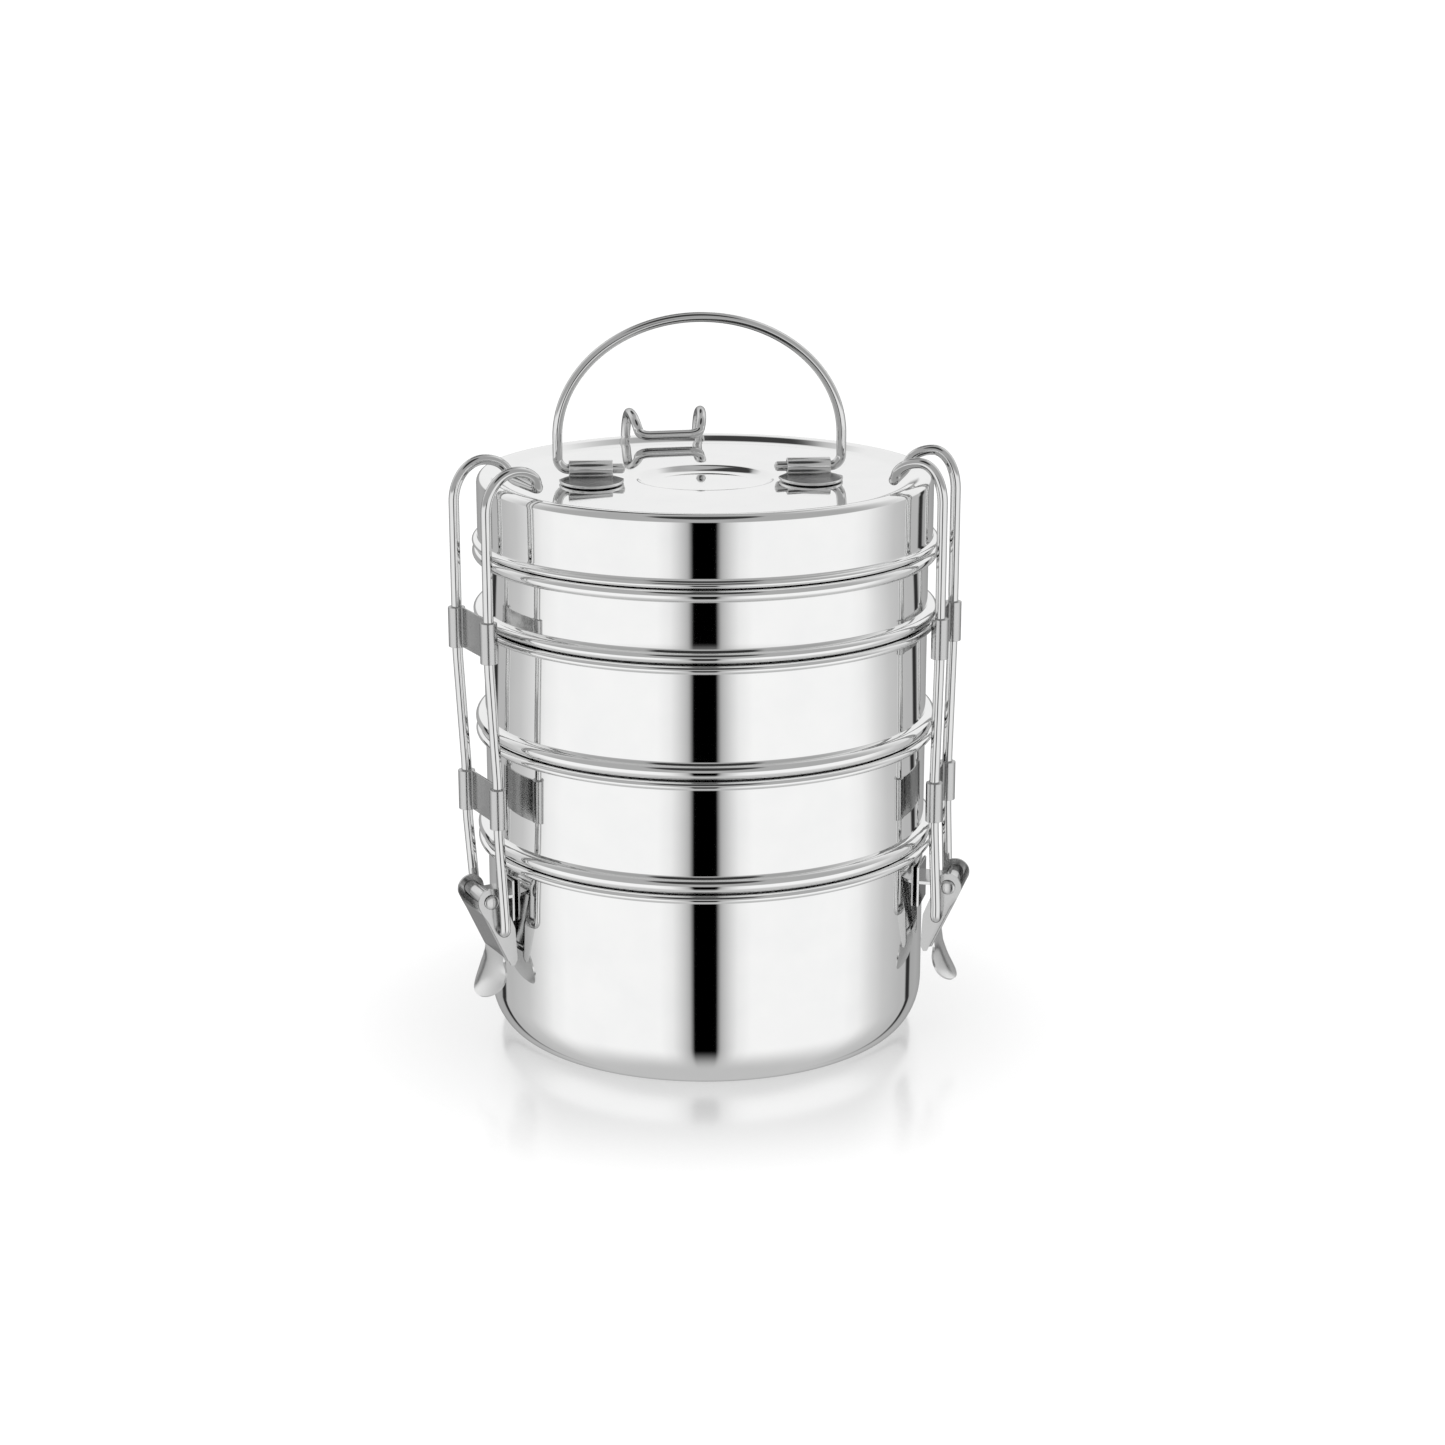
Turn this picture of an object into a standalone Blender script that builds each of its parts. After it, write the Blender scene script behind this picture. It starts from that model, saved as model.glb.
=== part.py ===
"""Stacking stainless-steel tiffin carrier with a hinged wire handle and three over-centre side clips."""

import math

import bpy

# ----------------------------------------------------------------------------
# Driving dimensions, metres and degrees
# ----------------------------------------------------------------------------
MM = 0.001
SEGMENTS = 36

SHEET = 0.8 * MM
WALL_R = 68.7 * MM
BEAD_R = 71.7 * MM
NEST_R = 67.4 * MM
NEST_DEPTH = 8.0 * MM
SEAT_GAP = 0.3 * MM

BASE_TOP = 62.6 * MM
TIER_2_TOP = 97.3 * MM
TIER_3_TOP = 132.0 * MM
TRAY_TOP = 154.2 * MM
BASE_CORNER_OUT = 9.0 * MM
BASE_CORNER_UP = 14.0 * MM

RIM_BEAD = 2.8 * MM
TRAY_RIM_BEAD = 3.9 * MM
STOP_BEAD = 4.6 * MM
TRAY_STOP_BEAD = 3.6 * MM

LID_R = 70.0 * MM
LID_CREST_Z = 175.7 * MM
LID_FLOOR_Z = 173.7 * MM
LID_CREST_R = 68.0 * MM
LID_SLOPE_R = 61.5 * MM
LID_COLLAR = 5.0 * MM
DIMPLE_R = 21.7 * MM
DIMPLE_DEPTH = 1.8 * MM

HANDLE_WIRE_R = 1.5 * MM
HANDLE_HALF_WIDTH = 43.45 * MM
HANDLE_RISE = 45.9 * MM
HANDLE_SHOULDER = 9.8 * MM
HANDLE_X = -1.6 * MM
HANDLE_AXIS_Z = 176.7 * MM
HANDLE_YAW = 4.5
HANDLE_STUB_X = 22.9 * MM
TUBE_INNER_X = 26.7 * MM
TUBE_OUTER_X = 40.1 * MM
TUBE_R = 2.6 * MM
TUBE_BORE_R = 1.85 * MM
LEAF_HALF_WIDTH = 9.8 * MM
LEAF_LENGTH = 19.5 * MM

CLIPS = {
    "left": {
        "azimuth": 208.0,
        "pivot_r": 77.6 * MM,
        "pivot_z": 51.2 * MM,
        "leg_mid_r": 76.3 * MM,
        "leg_high_r": 78.2 * MM,
        "strip_lift": 1.5 * MM,
    },
    "right": {
        "azimuth": -13.8,
        "pivot_r": 79.1 * MM,
        "pivot_z": 50.3 * MM,
        "leg_mid_r": 74.9 * MM,
        "leg_high_r": 75.6 * MM,
        "strip_lift": -1.4 * MM,
    },
    "back": {
        "azimuth": 101.4,
        "pivot_r": 78.2 * MM,
        "pivot_z": 50.7 * MM,
        "leg_mid_r": 75.6 * MM,
        "leg_high_r": 76.8 * MM,
        "strip_lift": 0.0,
    },
}
CLIP_WIRE_R = 1.55 * MM
CRANK_IN = 3.2 * MM
CRANK_DOWN = 9.8 * MM
CHEEK_OUTER = 8.25 * MM
CHEEK_INNER = 7.45 * MM
LEG_LOW_Y = 11.1 * MM
LEG_MID_Y = 11.9 * MM
LEG_HIGH_Y = 12.0 * MM
BAR_R = 60.0 * MM
BAR_LIFT = 1.4 * MM
ARCH_TOP_Z = 183.0 * MM
APEX_R = 68.5 * MM
SHOULDER_Z = 171.0 * MM
LOWER_PLATE_Z = (74.0 * MM, 86.3 * MM)
UPPER_PLATE_Z = (125.3 * MM, 137.6 * MM)
PLATE_SHEET = 0.7 * MM
PLATE_EYE_R = 1.9 * MM
WEB_IN = 0.85 * MM
PIN_R = 1.3 * MM
PIN_HEAD_R = 2.3 * MM
KNUCKLE_R = 2.5 * MM
KNUCKLE_BORE_R = 1.65 * MM
KNUCKLE_HALF = 7.15 * MM

# ----------------------------------------------------------------------------
# Scene, collections and materials
# ----------------------------------------------------------------------------
for stale in list(bpy.data.objects):
    bpy.data.objects.remove(stale, do_unlink=True)

carrier = bpy.data.collections.new("tiffin_carrier")
bpy.context.scene.collection.children.link(carrier)
cutters = bpy.data.collections.new("cutters")
bpy.context.scene.collection.children.link(cutters)


def steel(name, shade, roughness):
    """A stainless-steel Principled material."""
    material = bpy.data.materials.new(name)
    material.use_nodes = True
    shader = material.node_tree.nodes["Principled BSDF"]
    shader.inputs["Base Color"].default_value = (shade, shade, shade * 0.99, 1.0)
    shader.inputs["Metallic"].default_value = 1.0
    shader.inputs["Roughness"].default_value = roughness
    return material


POLISHED = steel("polished_steel", 0.80, 0.08)
LID_STEEL = steel("lid_steel", 0.79, 0.09)
TRAY_STEEL = steel("tray_steel", 0.80, 0.09)
WIRE_STEEL = steel("wire_steel", 0.77, 0.14)
STRIP_STEEL = steel("strip_steel", 0.70, 0.28)
LEVER_STEEL = steel("lever_steel", 0.74, 0.24)
KNUCKLE_STEEL = steel("knuckle_steel", 0.55, 0.32)
PIN_STEEL = steel("pin_steel", 0.66, 0.25)
BRACKET_STEEL = steel("bracket_steel", 0.76, 0.16)


# ----------------------------------------------------------------------------
# Helpers
# ----------------------------------------------------------------------------
def finish(obj, material=None, smooth=40.0):
    """Give an object its material and shade it smooth by angle."""
    if material is not None:
        obj.data.materials.clear()
        obj.data.materials.append(material)
    for polygon in obj.data.polygons:
        polygon.use_smooth = True
    obj.data.set_sharp_from_angle(angle=math.radians(smooth))
    return obj


def to_mesh(obj):
    """Replace an object by the mesh that its curve or modifiers make."""
    depsgraph = bpy.context.evaluated_depsgraph_get()
    mesh = bpy.data.meshes.new_from_object(obj.evaluated_get(depsgraph))
    name = obj.name
    collection = obj.users_collection[0]
    made = bpy.data.objects.new(name + "_mesh", mesh)
    made.matrix_world = obj.matrix_world
    collection.objects.link(made)
    bpy.data.objects.remove(obj, do_unlink=True)
    made.name = name
    select_only(made)
    bpy.ops.object.mode_set(mode="EDIT")
    bpy.ops.mesh.select_all(action="SELECT")
    bpy.ops.mesh.remove_doubles(threshold=0.00002)
    bpy.ops.mesh.normals_make_consistent(inside=False)
    bpy.ops.object.mode_set(mode="OBJECT")
    return made


def select_only(obj):
    """Make one object active and the only one selected."""
    bpy.context.view_layer.update()
    bpy.ops.object.select_all(action="DESELECT")
    obj.select_set(True)
    bpy.context.view_layer.objects.active = obj


def add_screw(obj, segments, merge):
    """Turn an open profile in the XZ plane into a closed turned body."""
    screw = obj.modifiers.new("turn", "SCREW")
    screw.axis = "Z"
    screw.angle = math.radians(360.0)
    screw.steps = segments
    screw.render_steps = segments
    screw.use_merge_vertices = True
    screw.merge_threshold = merge
    screw.use_smooth_shade = True
    return screw


def turned(name, profile, segments=SEGMENTS, collection=carrier):
    """A body of revolution about Z from a list of (radius, height) points."""
    count = len(profile)
    closed = profile[0][0] > 0.0
    mesh = bpy.data.meshes.new(name)
    edges = [(i, i + 1) for i in range(count - 1)]
    if closed:
        edges.append((count - 1, 0))
    mesh.from_pydata([(r, 0.0, z) for r, z in profile], edges, [])
    obj = bpy.data.objects.new(name, mesh)
    collection.objects.link(obj)
    add_screw(obj, segments, 0.00002)
    return to_mesh(obj)


def wire(name, points, radius, collection=carrier):
    """A bent wire along a polyline, with filled ends."""
    curve = bpy.data.curves.new(name, "CURVE")
    curve.dimensions = "3D"
    curve.bevel_depth = radius
    curve.bevel_resolution = 2
    curve.render_resolution_u = 0
    curve.use_fill_caps = True
    spline = curve.splines.new("POLY")
    spline.points.add(len(points) - 1)
    for point, co in zip(spline.points, points):
        point.co = (co[0], co[1], co[2], 1.0)
    obj = bpy.data.objects.new(name, curve)
    collection.objects.link(obj)
    return obj


def flat(name, outlines, half_thickness, collection=carrier):
    """A flat plate in the XY plane from closed outlines; later outlines are holes."""
    curve = bpy.data.curves.new(name, "CURVE")
    curve.dimensions = "2D"
    curve.fill_mode = "BOTH"
    curve.extrude = half_thickness
    curve.render_resolution_u = 0
    for outline in outlines:
        spline = curve.splines.new("POLY")
        spline.points.add(len(outline) - 1)
        for point, co in zip(spline.points, outline):
            point.co = (co[0], co[1], 0.0, 1.0)
        spline.use_cyclic_u = True
    obj = bpy.data.objects.new(name, curve)
    collection.objects.link(obj)
    return obj


def arc(cx, cy, radius, start, stop, steps, squash=1.0):
    """Points on an arc, angles in degrees."""
    points = []
    for i in range(steps + 1):
        angle = math.radians(start + (stop - start) * i / steps)
        points.append((cx + radius * math.cos(angle), cy + radius * squash * math.sin(angle)))
    return points


def cylinder(name, radius, length, vertices=20, collection=cutters):
    """A solid cylinder along Z, centred on the origin."""
    bpy.ops.mesh.primitive_cylinder_add(vertices=vertices, radius=radius, depth=length)
    obj = bpy.context.active_object
    obj.name = name
    for current in list(obj.users_collection):
        current.objects.unlink(obj)
    collection.objects.link(obj)
    return obj


def place(obj, parent, location=(0.0, 0.0, 0.0), rotation=(0.0, 0.0, 0.0)):
    """Parent an object and set its local location and rotation in degrees."""
    obj.parent = parent
    obj.location = location
    obj.rotation_euler = [math.radians(angle) for angle in rotation]
    return obj


def frame(name, location, yaw):
    """An empty that carries a group of parts."""
    obj = bpy.data.objects.new(name, None)
    obj.empty_display_size = 0.01
    carrier.objects.link(obj)
    obj.location = location
    obj.rotation_euler = (0.0, 0.0, math.radians(yaw))
    return obj


def combine(obj, tool, operation):
    """Boolean two meshes that share one local frame, then apply and hide the tool."""
    if tool.name not in cutters.objects:
        for current in list(tool.users_collection):
            current.objects.unlink(tool)
        cutters.objects.link(tool)
    tool.hide_render = True
    tool.display_type = "WIRE"
    bpy.context.view_layer.update()
    modifier = obj.modifiers.new(tool.name, "BOOLEAN")
    modifier.object = tool
    modifier.operation = operation
    modifier.solver = "EXACT"
    select_only(obj)
    bpy.ops.object.modifier_apply(modifier=modifier.name)
    bpy.data.objects.remove(tool, do_unlink=True)
    return obj


def stand_up(obj):
    """Turn a flat outline drawn as (x, z) from the XY plane into the XZ plane, in its mesh."""
    obj.rotation_euler = (math.radians(90.0), 0.0, 0.0)
    bake(obj)
    return obj


def bake(obj):
    """Apply an object's location, rotation and scale to its mesh."""
    select_only(obj)
    bpy.ops.object.transform_apply(location=True, rotation=True, scale=True)
    return obj


# ----------------------------------------------------------------------------
# Containers
# ----------------------------------------------------------------------------
def rim_bead(top, height):
    """Outer side of the rolled rim, from its top edge down to the wall."""
    return [
        (WALL_R + 0.4 * MM, top),
        (BEAD_R - 0.9 * MM, top),
        (BEAD_R, top - 0.3 * height),
        (BEAD_R, top - 0.7 * height),
        (BEAD_R - 0.9 * MM, top - height),
        (WALL_R, top - height),
    ]


def stop_bead(seat, height):
    """Outer side of the pressed bead that rests on the rim below."""
    bottom = seat + SEAT_GAP
    return [
        (WALL_R, bottom + height),
        (BEAD_R - 0.9 * MM, bottom + height),
        (BEAD_R, bottom + 0.7 * height),
        (BEAD_R, bottom + 0.3 * height),
        (BEAD_R - 0.9 * MM, bottom),
        (NEST_R, bottom),
    ]


def base_profile():
    """Profile of the deep bottom container."""
    corner = []
    for i in range(1, 5):
        angle = math.radians(90.0 * i / 4)
        out = WALL_R - BASE_CORNER_OUT * (1.0 - math.cos(angle))
        up = BASE_CORNER_UP * (1.0 - math.sin(angle))
        corner.append((out, up))
    inner = []
    for i in range(4, 0, -1):
        angle = math.radians(90.0 * i / 4)
        out = WALL_R - SHEET - (BASE_CORNER_OUT - SHEET) * (1.0 - math.cos(angle))
        up = SHEET + (BASE_CORNER_UP - SHEET) * (1.0 - math.sin(angle))
        inner.append((out, up))
    outer = rim_bead(BASE_TOP, RIM_BEAD) + [(WALL_R, BASE_CORNER_UP)] + corner + [(0.0, 0.0)]
    inside = [(0.0, SHEET)] + inner + [(WALL_R - SHEET, BASE_CORNER_UP), (WALL_R - SHEET, BASE_TOP - 0.3 * MM)]
    return inside + outer


def tier_profile(seat, top, rim, stop):
    """Profile of a container whose lower end nests into the rim at height seat."""
    bottom = seat - NEST_DEPTH
    step = seat + SEAT_GAP
    outside = rim_bead(top, rim) + stop_bead(seat, stop)
    nest = [(NEST_R, bottom + 3.5 * MM), (NEST_R - 1.0 * MM, bottom + 1.0 * MM), (NEST_R - 3.4 * MM, bottom), (0.0, bottom)]
    inner_r = NEST_R - SHEET
    inside = [
        (0.0, bottom + SHEET),
        (inner_r - 2.8 * MM, bottom + SHEET),
        (inner_r - 0.8 * MM, bottom + 1.6 * MM),
        (inner_r, bottom + 3.6 * MM),
        (inner_r, step + 0.4 * MM),
        (BEAD_R - 1.6 * MM, step + 1.1 * MM),
        (BEAD_R - 1.6 * MM, step + stop - 1.1 * MM),
        (WALL_R - SHEET, step + stop - 0.3 * MM),
        (WALL_R - SHEET, top - 0.3 * MM),
    ]
    return inside + outside + nest


def lid_profile():
    """Profile of the lid: collar, stop bead, deep skirt, raised crest, recess and dimple."""
    seat = TRAY_TOP + SEAT_GAP
    outside = [
        (0.0, LID_FLOOR_Z - DIMPLE_DEPTH),
        (DIMPLE_R - 4.5 * MM, LID_FLOOR_Z - DIMPLE_DEPTH),
        (DIMPLE_R - 1.8 * MM, LID_FLOOR_Z - 0.6 * DIMPLE_DEPTH),
        (DIMPLE_R, LID_FLOOR_Z),
        (LID_SLOPE_R, LID_FLOOR_Z),
        (LID_CREST_R - 1.5 * MM, LID_CREST_Z - 0.2 * MM),
        (LID_CREST_R, LID_CREST_Z),
        (LID_R - 0.7 * MM, LID_CREST_Z - 0.5 * MM),
        (LID_R, LID_CREST_Z - 2.0 * MM),
        (LID_R, seat + 2.4 * MM),
        (BEAD_R - 0.5 * MM, seat + 2.1 * MM),
        (BEAD_R, seat + 1.4 * MM),
        (BEAD_R, seat + 0.6 * MM),
        (BEAD_R - 0.6 * MM, seat),
        (NEST_R, seat),
        (NEST_R, seat - LID_COLLAR),
    ]
    inside = [
        (NEST_R - SHEET, seat - LID_COLLAR),
        (NEST_R - SHEET, seat + 0.8 * MM),
        (LID_R - SHEET, seat + 2.2 * MM),
        (LID_R - SHEET, LID_CREST_Z - 2.2 * MM),
        (LID_R - 1.4 * MM, LID_CREST_Z - 1.1 * MM),
        (LID_CREST_R - 0.1 * MM, LID_CREST_Z - SHEET),
        (LID_CREST_R - 1.3 * MM, LID_CREST_Z - SHEET - 0.2 * MM),
        (LID_SLOPE_R + 0.1 * MM, LID_FLOOR_Z - SHEET),
        (DIMPLE_R + 0.3 * MM, LID_FLOOR_Z - SHEET),
        (DIMPLE_R - 1.5 * MM, LID_FLOOR_Z - SHEET - 0.6 * DIMPLE_DEPTH),
        (DIMPLE_R - 4.3 * MM, LID_FLOOR_Z - SHEET - DIMPLE_DEPTH),
        (0.0, LID_FLOOR_Z - SHEET - DIMPLE_DEPTH),
    ]
    return outside + inside


finish(turned("base_container", base_profile()), POLISHED)
finish(turned("tier_2_container", tier_profile(BASE_TOP, TIER_2_TOP, RIM_BEAD, STOP_BEAD)), POLISHED)
finish(turned("tier_3_container", tier_profile(TIER_2_TOP, TIER_3_TOP, RIM_BEAD, STOP_BEAD)), POLISHED)
finish(turned("top_tray", tier_profile(TIER_3_TOP, TRAY_TOP, TRAY_RIM_BEAD, TRAY_STOP_BEAD)), TRAY_STEEL)
finish(turned("lid", lid_profile()), LID_STEEL)


# ----------------------------------------------------------------------------
# Wire handle and its two brackets
# ----------------------------------------------------------------------------
def handle_points():
    """Centre line of the bail, from one inner stub over the arch to the other."""
    side = [(HANDLE_STUB_X, 0.0), (HANDLE_HALF_WIDTH - 3.4 * MM, 0.0)]
    bend = arc(HANDLE_HALF_WIDTH - 3.4 * MM, 3.4 * MM, 3.4 * MM, -60.0, 0.0, 3)
    rise = HANDLE_RISE - HANDLE_SHOULDER
    squash = rise / HANDLE_HALF_WIDTH
    arch = arc(0.0, HANDLE_SHOULDER, HANDLE_HALF_WIDTH, 0.0, 90.0, 9, squash)
    half = side + bend + arch
    right = [(x, 0.0, z) for x, z in half]
    left = [(-x, 0.0, z) for x, z in reversed(half[:-1])]
    return right + left


handle_frame = frame("handle_frame", (HANDLE_X, 0.0, HANDLE_AXIS_Z), HANDLE_YAW)
handle = place(wire("handle_wire", handle_points(), HANDLE_WIRE_R), handle_frame)
handle.data.materials.append(WIRE_STEEL)


def handle_bracket(name, side):
    """Rolled tube with an oval leaf plate, in the handle frame."""
    length = TUBE_OUTER_X - TUBE_INNER_X
    middle = side * (TUBE_OUTER_X + TUBE_INNER_X) / 2.0
    tube = cylinder(name, TUBE_R, length, 20, carrier)
    tube.rotation_euler = (0.0, math.radians(90.0), 0.0)
    tube.location = (middle, 0.0, 0.0)
    bake(tube)
    leaf_top = LID_FLOOR_Z + SEAT_GAP + SHEET - HANDLE_AXIS_Z
    oval = arc(0.0, 0.0, LEAF_HALF_WIDTH, -180.0, 0.0, 14, (LEAF_LENGTH - 6.0 * MM) / LEAF_HALF_WIDTH)
    outline = [(middle + x, y - 6.0 * MM) for x, y in oval]
    neck = TUBE_OUTER_X - TUBE_INNER_X
    outline += [(middle + neck * 0.46, 0.5 * MM), (middle - neck * 0.46, 0.5 * MM)]
    leaf = to_mesh(flat(name + "_leaf", [outline], SHEET / 2.0))
    leaf.location = (0.0, 0.0, leaf_top - SHEET / 2.0)
    bake(leaf)
    combine(tube, leaf, "UNION")
    bore = cylinder(name + "_bore", TUBE_BORE_R, length * 2.0, 16)
    bore.rotation_euler = (0.0, math.radians(90.0), 0.0)
    bore.location = (middle, 0.0, 0.0)
    bake(bore)
    combine(tube, bore, "DIFFERENCE")
    finish(tube, BRACKET_STEEL, 30.0)
    return place(tube, handle_frame)


handle_bracket("handle_bracket_left", -1.0)
handle_bracket("handle_bracket_right", 1.0)


# ----------------------------------------------------------------------------
# Side clips, built in a frame with X outward, Y along the pin and Z up
# ----------------------------------------------------------------------------
def crank_hole(clip):
    """Place of the hole in the lever that takes the foot of the wire."""
    return (clip["pivot_r"] - CRANK_IN, 0.0, clip["pivot_z"] - CRANK_DOWN)


def clip_half(clip):
    """Centre line of one leg, from its inturned foot up over the lid to the bar."""
    mid_r = clip["leg_mid_r"]
    high_r = clip["leg_high_r"]
    lift = clip["strip_lift"]
    crank = crank_hole(clip)
    foot = [
        (crank[0], CHEEK_INNER - 0.75 * MM, crank[2]),
        (crank[0], LEG_LOW_Y - 1.9 * MM, crank[2]),
        (crank[0], LEG_LOW_Y - 0.55 * MM, crank[2] + 0.55 * MM),
        (crank[0] + 0.05 * MM, LEG_LOW_Y, crank[2] + 2.0 * MM),
    ]
    leg = [
        (mid_r, LEG_MID_Y, LOWER_PLATE_Z[0] + lift - 2.0 * MM),
        (mid_r, LEG_MID_Y, LOWER_PLATE_Z[1] + lift + 2.0 * MM),
        (high_r, LEG_HIGH_Y, UPPER_PLATE_Z[0] + lift - 2.0 * MM),
        (high_r, LEG_HIGH_Y, SHOULDER_Z - 1.0 * MM),
    ]
    bar_z = LID_FLOOR_Z + CLIP_WIRE_R + BAR_LIFT
    outer_rise = ARCH_TOP_Z - SHOULDER_Z
    outer_r = high_r - APEX_R
    inner_r = APEX_R - BAR_R - 1.0 * MM
    inner_rise = ARCH_TOP_Z - bar_z - 1.2 * MM
    loop = arc(APEX_R, SHOULDER_Z, outer_r, 15.0, 90.0, 5, outer_rise / outer_r)
    loop += arc(APEX_R, ARCH_TOP_Z - inner_rise, inner_r, 72.0, 0.0, 4, inner_rise / inner_r)
    loop = loop[:6] + [(2.0 * APEX_R - x, z) for x, z in loop[6:]]
    arch = []
    for i, (x, z) in enumerate(loop):
        inward = 1.4 * MM * i / len(loop)
        arch.append((x, LEG_HIGH_Y - inward, z))
    bar = [(BAR_R + 0.1 * MM, LEG_HIGH_Y - 2.3 * MM, bar_z + 0.4 * MM), (BAR_R, LEG_HIGH_Y - 3.6 * MM, bar_z)]
    return foot + leg + arch + bar


def clip_points(clip):
    """Centre line of the whole hairpin, relative to the crank hole."""
    half = clip_half(clip)
    crank = crank_hole(clip)
    whole = half + [(x, -y, z) for x, y, z in reversed(half)]
    return [(x - crank[0], y, z - crank[2]) for x, y, z in whole]


def clip_plate(name, leg_y, low, high):
    """Sheet strip curled round both legs."""
    ring_r = PLATE_EYE_R + PLATE_SHEET
    front = math.degrees(math.acos(-WEB_IN / ring_r))
    back = math.degrees(math.acos(-(WEB_IN + PLATE_SHEET) / ring_r))
    outline = arc(0.0, leg_y, ring_r, -front, 360.0 - back, 13)
    outline += arc(0.0, -leg_y, ring_r, back, 360.0 + front, 13)
    eyes = [arc(0.0, side * leg_y, PLATE_EYE_R, 0.0, 337.5, 15) for side in (1.0, -1.0)]
    plate = to_mesh(flat(name, [outline] + eyes, (high - low) / 2.0))
    return finish(plate, STRIP_STEEL, 40.0)


def latch_lever(name):
    """Channel-shaped lever with two round cheeks and a spoon-shaped thumb tongue."""
    top = arc(0.0, 0.0, 4.2 * MM, -20.0, 190.0, 9)
    sides = [(-7.6 * MM, -9.5 * MM), (-8.2 * MM, -19.8 * MM), (-6.6 * MM, -22.0 * MM), (-5.3 * MM, -21.4 * MM)]
    lever = stand_up(to_mesh(flat(name, [top + sides], CHEEK_OUTER)))
    hollow = [
        (-16.0 * MM, 8.0 * MM),
        (-16.0 * MM, -26.0 * MM),
        (-7.6 * MM, -26.0 * MM),
        (-5.9 * MM, -21.2 * MM),
        (2.3 * MM, -3.2 * MM),
        (8.0 * MM, -3.2 * MM),
        (8.0 * MM, 8.0 * MM),
    ]
    combine(lever, stand_up(to_mesh(flat(name + "_hollow", [hollow], CHEEK_INNER))), "DIFFERENCE")
    blade = arc(0.0, 6.2 * MM, 9.2 * MM, -18.0, 198.0, 14, 7.2 / 9.2)
    outline = [(y, s) for y, s in blade] + [(-7.0 * MM, -1.4 * MM), (7.0 * MM, -1.4 * MM)]
    tongue = to_mesh(flat(name + "_tongue", [outline], 0.45 * MM))
    tongue.rotation_euler = (math.radians(-90.0 - 25.0), 0.0, math.radians(90.0))
    tongue.location = (-5.7 * MM, 0.0, -20.6 * MM)
    bake(tongue)
    combine(lever, tongue, "UNION")
    for label, x, z, radius in (("pin", 0.0, 0.0, 1.65 * MM), ("crank", -CRANK_IN, -CRANK_DOWN, 1.95 * MM)):
        hole = cylinder(name + "_" + label, radius, 4.0 * CHEEK_OUTER, 16)
        hole.rotation_euler = (math.radians(90.0), 0.0, 0.0)
        hole.location = (x, 0.0, z)
        bake(hole)
        combine(lever, hole, "DIFFERENCE")
    finish(lever, LEVER_STEEL, 35.0)
    return lever


def latch_bracket(name, pivot_r):
    """Knuckle tube on a tab and a leaf plate against the wall of the base."""
    tube = cylinder(name, KNUCKLE_R, 2.0 * KNUCKLE_HALF, 20, carrier)
    tube.rotation_euler = (math.radians(90.0), 0.0, 0.0)
    bake(tube)
    wall_x = WALL_R + SEAT_GAP - pivot_r
    side = [
        (wall_x, 5.0 * MM),
        (wall_x, -8.0 * MM),
        (wall_x + 0.9 * MM, -8.0 * MM),
        (wall_x + 0.9 * MM, -0.4 * MM),
        (-1.9 * MM, -0.6 * MM),
        (-1.9 * MM, 0.6 * MM),
        (wall_x + 0.9 * MM, 0.7 * MM),
        (wall_x + 0.9 * MM, 5.0 * MM),
    ]
    plate = stand_up(to_mesh(flat(name + "_plate", [side], 6.2 * MM)))
    combine(tube, plate, "UNION")
    bore = cylinder(name + "_bore", KNUCKLE_BORE_R, 6.0 * KNUCKLE_HALF, 16)
    bore.rotation_euler = (math.radians(90.0), 0.0, 0.0)
    bake(bore)
    combine(tube, bore, "DIFFERENCE")
    finish(tube, KNUCKLE_STEEL, 35.0)
    return tube


def latch_pin(name):
    """Rivet with a low head at each end."""
    head = CHEEK_OUTER + 0.3 * MM
    profile = [
        (0.0, head + 0.6 * MM),
        (PIN_HEAD_R - 0.5 * MM, head + 0.6 * MM),
        (PIN_HEAD_R, head + 0.3 * MM),
        (PIN_HEAD_R, head),
        (PIN_R, head),
        (PIN_R, -head),
        (PIN_HEAD_R, -head),
        (PIN_HEAD_R, -head - 0.3 * MM),
        (PIN_HEAD_R - 0.5 * MM, -head - 0.6 * MM),
        (0.0, -head - 0.6 * MM),
    ]
    pin = turned(name, profile, 14)
    pin.rotation_euler = (math.radians(90.0), 0.0, 0.0)
    bake(pin)
    return finish(pin, PIN_STEEL, 35.0)


def side_clip(label, clip):
    """One complete clip: bracket, pin, lever, hairpin wire and two strips."""
    base = frame("clip_frame_" + label, (0.0, 0.0, 0.0), clip["azimuth"])
    pivot = (clip["pivot_r"], 0.0, clip["pivot_z"])
    crank = crank_hole(clip)
    place(latch_bracket("latch_bracket_" + label, clip["pivot_r"]), base, pivot)
    place(latch_pin("latch_pin_" + label), base, pivot)
    lever = place(latch_lever("latch_lever_" + label), base, pivot)
    hairpin = wire("clip_wire_" + label, clip_points(clip), CLIP_WIRE_R)
    hairpin.data.materials.append(WIRE_STEEL)
    place(hairpin, lever, (-CRANK_IN, 0.0, -CRANK_DOWN))
    strips = (
        ("upper", clip["leg_high_r"], LEG_HIGH_Y, UPPER_PLATE_Z),
        ("lower", clip["leg_mid_r"], LEG_MID_Y, LOWER_PLATE_Z),
    )
    for level, leg_r, leg_y, span in strips:
        plate = clip_plate("clip_plate_" + level + "_" + label, leg_y, span[0], span[1])
        middle = (span[0] + span[1]) / 2.0 + clip["strip_lift"]
        place(plate, hairpin, (leg_r - crank[0], 0.0, middle - crank[2]))


for clip_name, clip_dimensions in CLIPS.items():
    side_clip(clip_name, clip_dimensions)
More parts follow.
